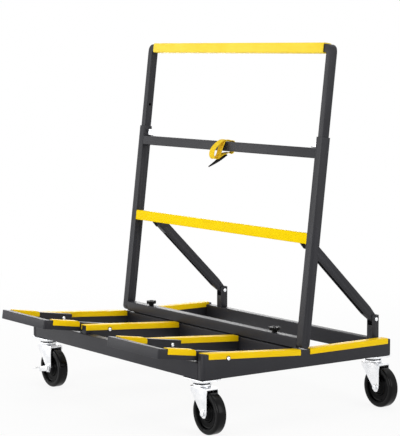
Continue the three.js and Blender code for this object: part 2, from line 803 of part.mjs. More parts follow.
// Snap pins that lock the handle: a rod through the inner face of each upright with a post to pull it by
for (const [label, side] of sides) {
  const [from, to] = spanFor(side, tubeInner - snapPinReach, legInner - gap);
  const postX = side * (tubeInner - fingerPostInset);
  const post = rod(fingerPostRadius, 0, fingerPostHeight, axisZ).translate(postX, 0, 0);
  const pin = join(rod(snapPinRadius, from, to, axisX), post).translate(0, 0, snapPinAlong);
  place(frame, `snap_pin_${label}`, pin, zinc);
}

// Braces: drawn forwards from the lower pivot, then raised to the bracket pins
const bracketY = footPivotY + bracketAcross * Math.cos(lean) + bracketAlong * Math.sin(lean);
const bracketZ = footPivotZ - bracketAcross * Math.sin(lean) + bracketAlong * Math.cos(lean);
const braceLength = Math.hypot(bracePivotY - bracketY, bracketZ - bracePivotZ);
const braceRise = Math.atan2(bracketZ - bracePivotZ, bracePivotY - bracketY);

function brace(x) {
  const half = braceDepth / 2;
  const body = new THREE.Shape();
  body.moveTo(-braceTaper, -half);
  body.lineTo(0, -braceTailRadius);
  body.absarc(0, 0, braceTailRadius, -Math.PI / 2, Math.PI / 2, false);
  body.lineTo(-braceTaper, half);
  body.lineTo(-braceLength, half);
  body.absarc(-braceLength, 0, half, Math.PI / 2, Math.PI * 1.5, false);
  const side = braceWidth / 2;
  const pocketFrom = -braceLength + 2 * half;
  const channel = block(
    x - side + braceWall,
    x + side - braceWall,
    pocketFrom,
    -braceTaper,
    -half - cutOver,
    half - braceWall,
  );
  const hole = rod(boltRadius + pivotFit, x - side - cutOver, x + side + cutOver, axisX);
  const jawHalf = pivotPinRadius + jawClearance;
  const jaw = new THREE.Shape();
  jaw.moveTo(-braceDepth, jawHalf);
  jaw.lineTo(0, jawHalf);
  jaw.absarc(0, 0, jawHalf, Math.PI / 2, -Math.PI / 2, true);
  jaw.lineTo(-braceDepth, -jawHalf);
  const jawCut = alongX(jaw, x - side - cutOver, x + side + cutOver, endSteps);
  jawCut.rotateX(-radians(jawAngle)).translate(0, -braceLength, 0);
  return cut(alongX(body, x - side, x + side, endSteps), channel, hole, jawCut);
}

for (const [label, side] of sides) {
  const swing = group(cart, 0, bracePivotY, bracePivotZ);
  swing.rotation.x = -braceRise;
  place(swing, `brace_${label}`, brace(postAt(side)), darkCoat);
}

// Flaps: U frames of tube between the deck bars, open behind, drawn level from their pivot and then raised
const capHalf = capWidth / 2;
const armCapSide = gap + capWall;
const flapInner = deckBarX + capHalf + flapSideClearance + armCapSide;
const flapOuter = railInner - gap - capWall - flapSideClearance - armCapSide;
const armReach = flapReach - flapBarDepth;

function flapFrame(side) {
  const [from, to] = spanFor(side, flapInner, flapOuter);
  const plan = outline([
    [from, -flapReach, flapCornerRadius],
    [to, -flapReach, flapCornerRadius],
    [to, flapTail],
    [to - flapArmWidth, flapTail],
    [to - flapArmWidth, -armReach, flapCornerRadius],
    [from + flapArmWidth, -armReach, flapCornerRadius],
    [from + flapArmWidth, flapTail],
    [from, flapTail],
  ]);
  const boreArm = flapArmWidth - flapWall;
  const boreRear = flapTail + cutOver;
  const bore = outline([
    [from + flapWall, flapWall - flapReach],
    [to - flapWall, flapWall - flapReach],
    [to - flapWall, boreRear],
    [to - boreArm, boreRear],
    [to - boreArm, -armReach - flapWall],
    [from + boreArm, -armReach - flapWall],
    [from + boreArm, boreRear],
    [from + flapWall, boreRear],
  ]);
  const half = flapHeight / 2;
  const hole = rod(boltRadius + pivotFit, from - cutOver, to + cutOver, axisX);
  return cut(alongZ(plan, -half, half), alongZ(bore, flapWall - half, half - flapWall), hole);
}

function armCap(centre) {
  const half = flapArmWidth / 2 + armCapSide;
  const inside = half - capWall;
  const top = flapHeight / 2 + armCapSide;
  const front = -armReach + flapCornerRadius + gap;
  const rear = front + armCapLength;
  const shell = outline([
    [front, top - armCapDrop],
    [rear, top - armCapDrop],
    [rear, top, 2 * flapCornerRadius],
    [front, top],
  ]);
  const hollow = block(
    centre - inside,
    centre + inside,
    front - cutOver,
    rear + cutOver,
    top - armCapDrop - cutOver,
    top - capWall,
  );
  return cut(alongX(shell, centre - half, centre + half), hollow);
}

const stops = [];
for (const [label, side] of sides) {
  const flap = group(cart, 0, flapPivotY, flapPivotZ);
  flap.rotation.x = -radians(flapAngle);
  place(flap, `flap_frame_${label}`, flapFrame(side), darkCoat);
  const armCentres = [flapInner + flapArmWidth / 2, flapOuter - flapArmWidth / 2].map((x) => side * x);
  ['inner', 'outer'].forEach((name, i) => {
    place(flap, `flap_cap_${label}_${name}`, armCap(armCentres[i]), yellowCap);
  });

  const boltSpans = {
    inner: spanFor(side, deckBarX - railWidth / 2 - gap, flapInner + flapArmWidth + gap),
    outer: spanFor(side, flapOuter - flapArmWidth - gap, railOuter + gap),
  };
  for (const [name, [from, to]] of Object.entries(boltSpans)) {
    const bolt = doubleHeaded(boltRadius, boltHeadRadius, boltHeadHeight, from, to, axisX);
    place(base, `flap_bolt_${label}_${name}`, bolt.translate(0, flapPivotY, flapPivotZ), zinc);
  }
  const rise = Math.tan(radians(flapAngle));
  const armHalf = flapHeight / 2 / Math.cos(radians(flapAngle));
  const armUnder = (y) => flapPivotZ + (flapPivotY - y) * rise - armHalf;
  const stopTop = armUnder(stopSetback + stopRadius) - gap;
  for (const x of armCentres) {
    stops.push(rod(stopRadius, frontBeamTop - railWall, stopTop, axisZ).translate(x, stopSetback, 0));
  }
}
place(base, 'front_beam', join(frontBeam, ...stops), darkCoat);

// Casters: a plate with its bolt heads and raceway on the base, a fork that swivels, a wheel on its axle,
// and a brake pedal on the left pair
const plateTop = casterHeight - gap;
const raceTop = plateTop - plateThickness;
const crownUnder = 2 * wheelRadius + forkWheelClearance;
const crownTop = crownUnder + forkCrownThickness;
const forkHalf = wheelWidth / 2 + forkSideClearance + forkWall;

function casterPlate() {
  const halfLength = plateLength / 2;
  const halfBreadth = plateWidth / 2;
  const plan = rectangle(-halfLength, -halfBreadth, halfLength, halfBreadth, railCornerRadius);
  const race = turned([
    [0, crownUnder],
    [kingpinRadius, crownUnder],
    [kingpinRadius, crownTop + gap],
    [raceRadius - raceChamfer, crownTop + gap],
    [raceRadius, crownTop + gap + raceChamfer],
    [raceRadius, raceTop],
    [0, raceTop + plateThickness / 2],
  ], axisZ, wheelSides);
  const boltX = halfLength - plateHoleInset;
  const boltY = halfBreadth - plateHoleInset;
  const heads = [[-boltX, -boltY], [boltX, -boltY], [boltX, boltY], [-boltX, boltY]].map(([x, y]) => {
    const under = raceTop - plateBoltHeadHeight;
    const head = rod(plateBoltHeadRadius, under, raceTop + plateThickness / 2, axisZ, hexSides);
    return head.translate(x, y, 0);
  });
  return join(alongZ(plan, raceTop, plateTop, bendSteps), race, ...heads);
}

// Fork: an inverted channel trimmed to a leg that is upright behind and slanted ahead
function fork() {
  const inner = forkHalf - forkWall;
  const eyeLow = wheelRadius - forkEyeRadius;
  const section = outline([
    [-forkHalf, eyeLow],
    [-inner, eyeLow],
    [-inner, crownUnder],
    [inner, crownUnder],
    [inner, eyeLow],
    [forkHalf, eyeLow],
    [forkHalf, crownTop, forkWall],
    [-forkHalf, crownTop, forkWall],
  ]);
  const back = wheelTrail + forkEyeRadius;
  const side = outline([
    [-forkTopWidth / 2, crownTop + cutOver],
    [-forkTopWidth / 2, crownUnder - forkCrownThickness, forkCrownThickness],
    [wheelTrail - forkEyeRadius, wheelRadius, forkEyeRadius / 2],
    [wheelTrail - forkEyeRadius / 2, eyeLow, forkEyeRadius / 3],
    [wheelTrail + forkEyeRadius / 2, eyeLow, forkEyeRadius / 3],
    [back, wheelRadius, forkEyeRadius / 2],
    [back, crownTop + cutOver],
  ]);
  const reach = forkHalf + cutOver;
  const channel = alongX(section, -forkTopWidth, back + cutOver);
  const trimmed = common(channel, alongY(side, -reach, reach));
  const axleHole = rod(axleRadius + wheelBoreFit, -reach, reach, axisY).translate(wheelTrail, 0, wheelRadius);
  const kingHole = rod(kingpinRadius + wheelBoreFit, crownUnder - cutOver, crownTop + cutOver, axisZ);
  return cut(trimmed, axleHole, kingHole);
}

function wheel() {
  const half = wheelWidth / 2;
  const boss = half + forkSideClearance - gap;
  const bore = axleRadius + wheelBoreFit;
  const face = half - wheelRecess;
  const profile = [
    [bore, -boss],
    [wheelHubRadius - hubTaper, -boss],
    [wheelHubRadius, -face],
    [wheelTreadRadius - rimBevel, -face],
    [wheelTreadRadius, -half],
    [wheelRadius - wheelShoulder, -half],
    [wheelRadius - treadCrown, -half + shoulderDepth],
    [wheelRadius, -half + treadEdge],
  ];
  const mirrored = profile.map(([radius, at]) => [radius, -at]).reverse();
  return turned([...profile, ...mirrored, profile[0]], axisY, wheelSides);
}

// Brake pedal: a ring under the axle head with an arm and a tread that turns outwards
function brakePedal() {
  const face = -forkHalf - gap;
  const outer = face - pedalThickness;
  const arm = new THREE.Shape();
  const narrow = pedalArmWidth / 2;
  arm.absarc(0, 0, pedalRingRadius, -Math.PI * 0.75, Math.PI * 0.75, false);
  arm.lineTo(-pedalReach, narrow);
  arm.lineTo(-pedalReach, -narrow);
  ringHole(arm, 0, 0, axleRadius + wheelBoreFit);
  const plate = alongY(arm, outer, face, endSteps);
  const tread = block(
    -pedalReach - pedalTipDepth / 2,
    -pedalReach + pedalTipDepth / 2,
    face - pedalTipWidth,
    face,
    narrow - pedalThickness,
    narrow,
  );
  return join(plate, tread).rotateY(-radians(pedalSwing));
}

for (const [row, swivelY] of [['front', swivelFrontSetback], ['rear', baseDepth - swivelRearSetback]]) {
  for (const [label, side] of sides) {
    const x = side * swivelX;
    const corner = `${row}_${label}`;
    place(group(base, x, swivelY, 0), `caster_plate_${corner}`, casterPlate(), zinc);
    const swivel = group(cart, x, swivelY, 0);
    place(swivel, `caster_fork_${corner}`, fork(), zinc);
    const hub = group(swivel, wheelTrail, 0, wheelRadius);
    const pedalled = side < 0;
    const front = -forkHalf - gap - (pedalled ? pedalThickness + gap : 0);
    const axle = doubleHeaded(axleRadius, axleHeadRadius, axleHeadHeight, front, forkHalf + gap, axisY);
    place(hub, `caster_axle_${corner}`, axle, zinc);
    place(hub, `caster_wheel_${corner}`, wheel(), wheelRubber);
    if (pedalled) {
      place(hub, `brake_pedal_${corner}`, brakePedal(), zinc);
    }
  }
}

// The origin is the middle of the underside of the whole cart
cart.updateMatrixWorld(true);
const extent = new THREE.Box3().setFromObject(cart);
const middle = extent.getCenter(new THREE.Vector3());
cart.position.set(-middle.x, -middle.y, -extent.min.z);

export default cart;
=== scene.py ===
import json
import math

import bmesh
import bpy
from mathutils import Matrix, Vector

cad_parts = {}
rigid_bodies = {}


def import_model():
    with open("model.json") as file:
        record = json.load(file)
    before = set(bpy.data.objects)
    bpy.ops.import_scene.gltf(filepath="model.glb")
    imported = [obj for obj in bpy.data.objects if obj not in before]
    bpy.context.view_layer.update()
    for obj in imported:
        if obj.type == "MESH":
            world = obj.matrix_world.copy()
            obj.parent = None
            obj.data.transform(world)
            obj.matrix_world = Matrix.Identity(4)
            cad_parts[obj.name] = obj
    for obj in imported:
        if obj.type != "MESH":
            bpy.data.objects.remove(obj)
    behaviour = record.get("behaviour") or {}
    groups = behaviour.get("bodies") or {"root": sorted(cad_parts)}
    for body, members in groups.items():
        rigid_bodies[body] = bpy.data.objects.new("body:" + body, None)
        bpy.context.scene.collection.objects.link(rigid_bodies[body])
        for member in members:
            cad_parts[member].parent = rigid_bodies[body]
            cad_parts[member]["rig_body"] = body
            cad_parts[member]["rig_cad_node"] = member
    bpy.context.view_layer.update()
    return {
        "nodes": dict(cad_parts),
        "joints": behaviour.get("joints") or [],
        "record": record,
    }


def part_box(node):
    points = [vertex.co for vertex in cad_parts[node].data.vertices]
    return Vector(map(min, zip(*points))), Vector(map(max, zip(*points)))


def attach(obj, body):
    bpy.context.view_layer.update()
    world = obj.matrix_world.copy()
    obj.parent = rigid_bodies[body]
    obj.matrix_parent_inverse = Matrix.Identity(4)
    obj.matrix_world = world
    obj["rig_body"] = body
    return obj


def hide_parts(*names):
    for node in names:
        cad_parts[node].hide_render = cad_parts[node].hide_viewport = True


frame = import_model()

mm = 0.001
nodes = frame["nodes"]
record = frame["record"]
joints = {joint["name"]: joint for joint in frame["joints"]}
bodyOf = {node: body for body, members in record["behaviour"]["bodies"].items() for node in members}
slotOf = {part["node"]: part["material_slot"] for part in record["subparts"]}
sides = (("left", -1), ("right", 1))
corners = [f"{row}_{side}" for row in ("front", "rear") for side, sign in sides]

# Camera, at the photograph's viewing angle
cameraView = {
    "place": (4.25122, -3.03864, 1.08445),  # metres
    "tilt": 84.31,  # degrees up from looking straight down
    "turn": 54.23,  # degrees from looking along +Y
    "focalPixels": 1701.28,
    "imageHeight": 436,  # pixels
    "sensor": 36.0,  # millimetres on the long side
}
bpy.ops.object.select_all(action="DESELECT")
bpy.ops.object.camera_add(
    location=cameraView["place"],
    rotation=(math.radians(cameraView["tilt"]), 0, math.radians(cameraView["turn"])),
)
camera = bpy.context.object
camera.data.sensor_width = cameraView["sensor"]
camera.data.lens = cameraView["focalPixels"] * cameraView["sensor"] / cameraView["imageHeight"]
bpy.context.scene.camera = camera
print("camera placed")


# Materials
def hexToLinear(code):
    channels = [int(code[i:i + 2], 16) / 255 for i in (1, 3, 5)]
    return [c / 12.92 if c <= 0.04045 else ((c + 0.055) / 1.055) ** 2.4 for c in channels] + [1.0]


def addNode(tree, kind, inputs=None, **settings):
    node = tree.nodes.new(kind)
    for name, value in settings.items():
        setattr(node, name, value)
    for name, value in (inputs or {}).items():
        if isinstance(value, bpy.types.NodeSocket):
            tree.links.new(value, node.inputs[name])
        else:
            node.inputs[name].default_value = value
    return node


def newMaterial(name, **constants):
    material = bpy.data.materials.new(name)
    material.use_nodes = True
    tree = material.node_tree
    shader = tree.nodes["Principled BSDF"]
    for socket, value in constants.items():
        shader.inputs[socket.replace("_", " ")].default_value = value
    place = addNode(tree, "ShaderNodeTexCoord").outputs["Object"]
    return material, tree, shader, place


def spreadColour(tree, factor, dark, light, low=0.3, high=0.7):
    ramp = addNode(tree, "ShaderNodeValToRGB", {"Fac": factor})
    for stop, position, code in zip(ramp.color_ramp.elements, (low, high), (dark, light)):
        stop.position = position
        stop.color = hexToLinear(code)
    return ramp.outputs["Color"]


def linkSurface(tree, shader, colour, bump, sheen=None):
    tree.links.new(colour, shader.inputs["Base Color"])
    tree.links.new(bump.outputs["Normal"], shader.inputs["Normal"])
    if sheen:
        tree.links.new(sheen.outputs["Result"], shader.inputs["Roughness"])


# Powder coat on steel tube: a satin skin with a fine orange peel, slightly uneven in depth of colour
def powderCoat(name, dark, light, roughness, specular):
    material, tree, shader, place = newMaterial(name, Specular_IOR_Level=specular)
    peelSize = 2.2 * mm  # the real peel is about 0.5 mm, drawn coarser so that it shows
    cloudSize = 90 * mm
    peel = addNode(tree, "ShaderNodeTexNoise", {"Vector": place, "Scale": 1 / peelSize, "Detail": 3.0})
    cloud = addNode(tree, "ShaderNodeTexNoise", {"Vector": place, "Scale": 1 / cloudSize, "Detail": 4.0})
    colour = spreadColour(tree, cloud.outputs["Fac"], dark, light)
    sheen = addNode(tree, "ShaderNodeMapRange", {
        "Value": peel.outputs["Fac"], "From Min": 0.3, "From Max": 0.7,
        "To Min": roughness - 0.06, "To Max": roughness + 0.06,
    })
    bump = addNode(tree, "ShaderNodeBump", {
        "Height": peel.outputs["Fac"], "Strength": 0.12, "Distance": 0.1 * mm,
    })
    linkSurface(tree, shader, colour, bump, sheen)
    return material


# Extruded vinyl edging: satin, with faint draw lines along its length and a slight drift in colour
def drawnVinyl(name, dark, light, along):
    material, tree, shader, place = newMaterial(name, IOR=1.53, Specular_IOR_Level=0.1)
    lineSize = 1.6 * mm  # real draw lines are about 0.3 mm apart, drawn coarser so that they show
    lineLength = 180 * mm
    driftSize = 70 * mm
    scale = [1 / lineSize] * 3
    scale[along] = 1 / lineLength
    stretched = addNode(tree, "ShaderNodeMapping", {"Vector": place, "Scale": scale})
    lines = addNode(tree, "ShaderNodeTexNoise", {
        "Vector": stretched.outputs["Vector"], "Scale": 1.0, "Detail": 2.0,
    })
    drift = addNode(tree, "ShaderNodeTexNoise", {"Vector": place, "Scale": 1 / driftSize, "Detail": 3.0})
    colour = spreadColour(tree, drift.outputs["Fac"], dark, light)
    sheen = addNode(tree, "ShaderNodeMapRange", {
        "Value": lines.outputs["Fac"], "From Min": 0.3, "From Max": 0.7, "To Min": 0.36, "To Max": 0.5,
    })
    bump = addNode(tree, "ShaderNodeBump", {
        "Height": lines.outputs["Fac"], "Strength": 0.2, "Distance": 0.1 * mm,
    })
    linkSurface(tree, shader, colour, bump, sheen)
    return material


# Bright zinc plate on pressed steel: almost white, with faint cloudy patches and fine rolling marks
def brightZinc(name):
    material, tree, shader, place = newMaterial(name, Metallic=1.0)
    patchSize = 18 * mm
    markSize = 0.8 * mm
    patch = addNode(tree, "ShaderNodeTexNoise", {"Vector": place, "Scale": 1 / patchSize, "Detail": 2.0})
    mark = addNode(tree, "ShaderNodeTexNoise", {"Vector": place, "Scale": 1 / markSize, "Detail": 2.0})
    colour = spreadColour(tree, patch.outputs["Fac"], "#eceef1", "#fafafb")
    sheen = addNode(tree, "ShaderNodeMapRange", {
        "Value": patch.outputs["Fac"], "From Min": 0.3, "From Max": 0.7, "To Min": 0.24, "To Max": 0.32,
    })
    bump = addNode(tree, "ShaderNodeBump", {
        "Height": mark.outputs["Fac"], "Strength": 0.06, "Distance": 0.05 * mm,
    })
    linkSurface(tree, shader, colour, bump, sheen)
    return material


# Moulded black: rubber has a dull bloom, nylon and polypropylene a closer, shinier skin
def mouldedBlack(name, dark, light, roughness, specular, grainSize, grainDepth):
    material, tree, shader, place = newMaterial(name, IOR=1.5, Specular_IOR_Level=specular)
    bloomSize = 25 * mm
    grain = addNode(tree, "ShaderNodeTexNoise", {"Vector": place, "Scale": 1 / grainSize, "Detail": 3.0})
    bloom = addNode(tree, "ShaderNodeTexNoise", {"Vector": place, "Scale": 1 / bloomSize, "Detail": 4.0})
    colour = spreadColour(tree, bloom.outputs["Fac"], dark, light)
    sheen = addNode(tree, "ShaderNodeMapRange", {
        "Value": bloom.outputs["Fac"], "From Min": 0.3, "From Max": 0.7,
        "To Min": roughness - 0.07, "To Max": roughness + 0.07,
    })
    bump = addNode(tree, "ShaderNodeBump", {
        "Height": grain.outputs["Fac"], "Strength": 0.3, "Distance": grainDepth,
    })
    linkSurface(tree, shader, colour, bump, sheen)
    return material


# Hook-and-loop webbing: ribs of thread across the band under a short fuzzy nap, with painted shade in the
# hollows and painted highlight on the raised threads
def wovenBandPaintedShade(name, dark, light):
    material, tree, shader, place = newMaterial(
        name, Roughness=0.92, Specular_IOR_Level=0.05, Sheen_Weight=0.08,
    )
    ribSize = 2.4 * mm  # threads are about 0.5 mm, drawn coarser so that they show
    fuzzSize = 0.9 * mm
    along = addNode(tree, "ShaderNodeTexCoord").outputs["UV"]  # metres along and across the band
    ribs = addNode(tree, "ShaderNodeTexWave", {
        "Vector": along, "Scale": 0.05 / ribSize * math.tau, "Distortion": 0.6, "Detail": 1.0,
    }, bands_direction="X")
    fuzz = addNode(tree, "ShaderNodeTexNoise", {"Vector": place, "Scale": 1 / fuzzSize, "Detail": 4.0})
    pileWithPaintedShade = addNode(tree, "ShaderNodeMath", {
        0: ribs.outputs["Fac"], 1: fuzz.outputs["Fac"],
    }, operation="MULTIPLY")
    # The colour follows the threads' height: painted shade where it is low, painted highlight where it is
    # high
    colour = spreadColour(tree, pileWithPaintedShade.outputs["Value"], dark, light, 0.05, 0.45)
    bump = addNode(tree, "ShaderNodeBump", {
        "Height": pileWithPaintedShade.outputs["Value"], "Strength": 0.5, "Distance": 0.4 * mm,
    })
    linkSurface(tree, shader, colour, bump)
    return material


charcoalCoat = powderCoat("charcoalPowderCoat", "#212125", "#26262b", 0.46, 0.26)
yellowCoat = powderCoat("yellowPowderCoat", "#f4cf00", "#fad902", 0.42, 0.03)
vinylLengthwise = drawnVinyl("yellowVinylEdging", "#f4c702", "#f9d106", 1)
# The grip's yellow is paler than the edging's: painted highlight for the lamp's reflection on the grip's
# backward-leaning face
gripVinylPaintedHighlight = drawnVinyl("yellowVinylGrip", "#f8d83c", "#fde04c", 0)
zincPlate = brightZinc("brightZincPlate")
tyreRubber = mouldedBlack("tyreRubber", "#060607", "#0b0b0c", 0.22, 0.13, 1.2 * mm, 0.03 * mm)
hubNylon = mouldedBlack("wheelNylon", "#010102", "#040405", 0.15, 0.06, 2.0 * mm, 0.02 * mm)
knobNylon = mouldedBlack("knobNylon", "#060607", "#0e0e10", 0.34, 0.12, 1.0 * mm, 0.06 * mm)
# The loop webbing's two yellows are its shaded and its lit tone, painted into the weave
loopBand = wovenBandPaintedShade("yellowLoopWebbing", "#dcae00", "#ffe13a")
hookBand = wovenBandPaintedShade("blackHookWebbing", "#030304", "#0c0c0d")
coats = {
    "dark_powder_coat": charcoalCoat,
    "yellow_powder_coat": yellowCoat,
    "yellow_plastic": vinylLengthwise,
    "zinc_plated_steel": zincPlate,
    "black_plastic": knobNylon,
    "wheel_rubber": tyreRubber,
    "yellow_webbing": loopBand,
    "black_webbing": hookBand,
}
print("materials made:", len(coats))


# Modelling helpers
def deselectAll():
    bpy.ops.object.select_all(action="DESELECT")


def pickOnly(piece):
    deselectAll()
    piece.select_set(True)
    bpy.context.view_layer.objects.active = piece


def startPiece(name):
    piece = bpy.context.object
    piece.name = name
    piece.data.name = name
    bpy.ops.object.transform_apply(location=True, rotation=True, scale=True)
    return piece


def addBlock(name, low, high):
    deselectAll()
    low, high = Vector(low), Vector(high)
    bpy.ops.mesh.primitive_cube_add(size=1, location=(low + high) / 2, scale=high - low)
    return startPiece(name)


def addDisc(name, radius, start, end, sidesCount):
    deselectAll()
    start, end = Vector(start), Vector(end)
    turn = (end - start).to_track_quat("Z", "Y").to_euler()
    bpy.ops.mesh.primitive_cylinder_add(
        vertices=sidesCount, radius=radius, depth=(end - start).length,
        location=(start + end) / 2, rotation=turn,
    )
    return startPiece(name)


def select(piece, kind, chosen):
    bpy.context.tool_settings.mesh_select_mode = (kind == "verts", kind == "edges", kind == "faces")
    shape = bmesh.from_edit_mesh(piece.data)
    shape.normal_update()
    for part in [*shape.faces, *shape.edges, *shape.verts]:
        part.select_set(False)
    for part in getattr(shape, kind):
        if chosen(part):
            part.select_set(True)
    shape.select_flush_mode()
    bmesh.update_edit_mesh(piece.data)


def editMode(piece):
    pickOnly(piece)
    bpy.ops.object.mode_set(mode="EDIT")


def objectMode():
    bpy.ops.object.mode_set(mode="OBJECT")


def roundEdges(piece, width, steps, chosen):
    editMode(piece)
    select(piece, "edges", lambda edge: len(edge.link_faces) == 2 and chosen(edge))
    bpy.ops.mesh.bevel(offset=width, segments=steps, affect="EDGES", clamp_overlap=True)
    objectMode()


def easeEdges(piece, width, steps=2, angle=30):
    pickOnly(piece)
    bpy.ops.object.modifier_add(type="BEVEL")
    ease = piece.modifiers[-1]
    ease.width = width
    ease.segments = steps
    ease.limit_method = "ANGLE"
    ease.angle_limit = math.radians(angle)
    bpy.ops.object.modifier_apply(modifier=ease.name)


def smooth(piece, angle=35):
    pickOnly(piece)
    bpy.ops.object.shade_smooth_by_angle(angle=math.radians(angle))


def joinPieces(name, parts):
    deselectAll()
    for part in parts:
        part.select_set(True)
    bpy.context.view_layer.objects.active = parts[0]
    bpy.ops.object.join()
    piece = bpy.context.object
    piece.name = name
    piece.data.name = name
    return piece


def fit(piece, node, material=None):
    if not piece.data.materials or material:
        piece.data.materials.clear()
        piece.data.materials.append(material or coats[slotOf[node]])
    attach(piece, bodyOf[node])
    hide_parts(node)
    return piece


def pieceName(node):
    first, *rest = node.split("_")
    return first + "".join(word.capitalize() for word in rest)


def copyNode(node):
    pickOnly(nodes[node])
    bpy.ops.object.duplicate()
    piece = bpy.context.object
    piece.name = pieceName(node)
    piece.data.name = piece.name
    piece.parent = None
    piece.data.materials.clear()
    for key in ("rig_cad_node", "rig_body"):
        del piece[key]
    bpy.ops.mesh.customdata_custom_splitnormals_clear()
    bpy.ops.object.mode_set(mode="EDIT")
    bpy.ops.mesh.select_all(action="SELECT")
    bpy.ops.mesh.remove_doubles(threshold=0.01 * mm)
    bpy.ops.mesh.dissolve_limited(angle_limit=math.radians(0.5))
    objectMode()
    return piece


def squareEdge(edge):
    return edge.is_convex and edge.calc_face_angle() > math.radians(60)


def longEdge(edge):
    return squareEdge(edge) and edge.calc_length() > 60 * mm


def topEdge(edge):
    return longEdge(edge) and any(face.normal.z > 0.9 for face in edge.link_faces)


def levelEdge(edge):
    return abs(edge.verts[0].co.z - edge.verts[1].co.z) < 0.1 * mm


def outlineEdge(direction):
    def chosen(edge):
        along = [abs(face.normal.dot(direction)) for face in edge.link_faces]
        return squareEdge(edge) and max(along) > 0.99 and min(along) < 0.1
    return chosen


# Tubes, caps and plates: the solid's own shape with drawn corners and eased rims
leanAxis = Vector(joints["handle_slide"]["axis"])
leanAcross = Vector((0, leanAxis.z, -leanAxis.y))
flapRise = math.radians(8)
flapUp = Vector((0, math.sin(flapRise), math.cos(flapRise)))
softening = {
    "deck_bar": {"corner": 2.5, "rim": 0.5, "edges": longEdge},
    "front_cap": {"corner": 2.0, "rim": 0.6, "edges": topEdge},
    "deck_bar_cap": {"corner": 2.0, "rim": 0.6, "edges": topEdge},
    "rear_cap": {"corner": 2.0, "rim": 0.6, "edges": topEdge},
    "flap_cap": {"corner": 2.0, "rim": 0.6, "edges": topEdge},
    "rear_post": {"corner": 1.2, "rim": 0.5, "edges": longEdge},
    "upright": {"corner": 2.5, "rim": 0.4, "edges": longEdge},
    "brace": {"corner": 0.9, "rim": 0.4, "edges": longEdge},
    "flap_frame": {"corner": 2.0, "rim": 0.4, "edges": outlineEdge(flapUp)},
    "handle_tube": {"corner": 2.4, "rim": 0.4, "edges": outlineEdge(leanAcross)},
    "handle_grip": {"corner": 0, "rim": 1.2, "edges": None},
    "caster_fork": {"corner": 0, "rim": 0.7, "edges": None},
    "brake_pedal": {"corner": 0, "rim": 0.7, "edges": None},
    "front_beam": {"corner": 0, "rim": 0.5, "edges": None},
    "mid_beam": {"corner": 0, "rim": 0.5, "edges": None},
    "rear_beam": {"corner": 0, "rim": 0.5, "edges": None},
    "foot_bar": {"corner": 0, "rim": 0.5, "edges": None},
    "mid_rail": {"corner": 0, "rim": 0.5, "edges": None},
    "upper_crossbar": {"corner": 0, "rim": 0.5, "edges": None},
}


def softened(node, recipe):
    piece = copyNode(node)
    if recipe["corner"]:
        roundEdges(piece, recipe["corner"] * mm, 3, recipe["edges"])
    easeEdges(piece, recipe["rim"] * mm)
    smooth(piece)
    # the grip takes the paler vinyl with its painted highlight
    material = gripVinylPaintedHighlight if node == "handle_grip" else None
    return fit(piece, node, material)


# The brace brackets behind the yellow rail are charcoal
railDepth = 25.2  # millimetres, after which a face is a bracket's


def darkenBrackets(piece):
    piece.data.materials.append(charcoalCoat)
    front = min(vert.co.dot(leanAcross) for vert in piece.data.vertices)
    for face in piece.data.polygons:
        face.material_index = int(face.center.dot(leanAcross) > front + railDepth * mm)


def familyOf(node):
    words = node.split("_")
    while words and "_".join(words) not in softening:
        words.pop()
    return "_".join(words)


for node in sorted(nodes):
    if familyOf(node):
        piece = softened(node, softening[familyOf(node)])
        if node == "mid_rail":
            darkenBrackets(piece)
print("tubes, caps and pressings softened")


# Black strip on the mid beam under the foot bar: painted shade standing in for the shadow in the gap the
# foot bar slides over
shadeStripShape = {"setback": 3.5, "depth": 5, "height": 4.1, "gap": 0.2, "endGap": 30, "soft": 1.0}


def foamStrip():
    low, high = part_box("mid_beam")
    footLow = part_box("foot_bar")[0]
    front = low.y + shadeStripShape["setback"] * mm
    top = footLow.z - shadeStripShape["gap"] * mm
    ends = Vector((shadeStripShape["endGap"] * mm, 0, 0))
    piece = addBlock(
        "foamStrip",
        Vector((low.x, front, top - shadeStripShape["height"] * mm)) + ends,
        Vector((high.x, front + shadeStripShape["depth"] * mm, top)) - ends,
    )
    easeEdges(piece, shadeStripShape["soft"] * mm, 3)
    smooth(piece)
    # painted shade: black webbing put in the gap under the foot bar
    piece.data.materials.append(hookBand)
    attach(piece, bodyOf["mid_beam"])


foamStrip()
print("foam strip made")


# Side rails: a tube that rises ahead of the knee, with a well rounded front corner
railShape = {"knee": 354, "rise": 24, "frontCorner": 12, "corner": 3}


def sideRail(side, sign):
    node = f"side_rail_{side}"
    low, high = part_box(node)
    rise = railShape["rise"] * mm
    piece = addBlock(pieceName(node), low, high - Vector((0, 0, rise)))
    editMode(piece)
    bpy.ops.mesh.select_all(action="SELECT")
    bpy.ops.mesh.bisect(plane_co=(0, low.y + railShape["knee"] * mm, 0), plane_no=(0, 1, 0))
    select(piece, "verts", lambda vert: vert.co.y < low.y + mm and vert.co.z > low.z + mm)
    bpy.ops.transform.translate(value=(0, 0, rise))
    objectMode()
    outer = high.x if sign > 0 else low.x
    roundEdges(piece, railShape["frontCorner"] * mm, 6, lambda edge: all(
        vert.co.y < low.y + mm and abs(vert.co.x - outer) < mm for vert in edge.verts))
    easeEdges(piece, railShape["corner"] * mm, 3, 50)
    smooth(piece)
    return fit(piece, node)


for side, sign in sides:
    sideRail(side, sign)
print("side rails made")


# Bolts: a domed head with a small socket on the outside, a hex nut on the inside
boltShape = {
    "shank": 4.0, "shankSoft": 0.4, "head": 5.7, "height": 5, "dome": 2.6, "crown": 0.2,
    "socket": 2.2, "socketTaper": 0.3, "socketDepth": 1.6, "nut": 5.8, "nutInset": 1,
}
axleShape = {
    "shank": 5.0, "head": 9.0, "height": 6, "washer": 1.2, "washerRim": 1.5, "soft": 0.25, "nutInset": 1,
}
hexChamfer = 0.9
roundSides = 40


def hexHead(name, radius, start, end):
    head = addDisc(name, radius, start, end, 6)
    outward = (Vector(end) - Vector(start)).normalized()
    roundEdges(head, hexChamfer * mm, 2, lambda edge: any(
        face.normal.dot(outward) > 0.9 for face in edge.link_faces))
    return head


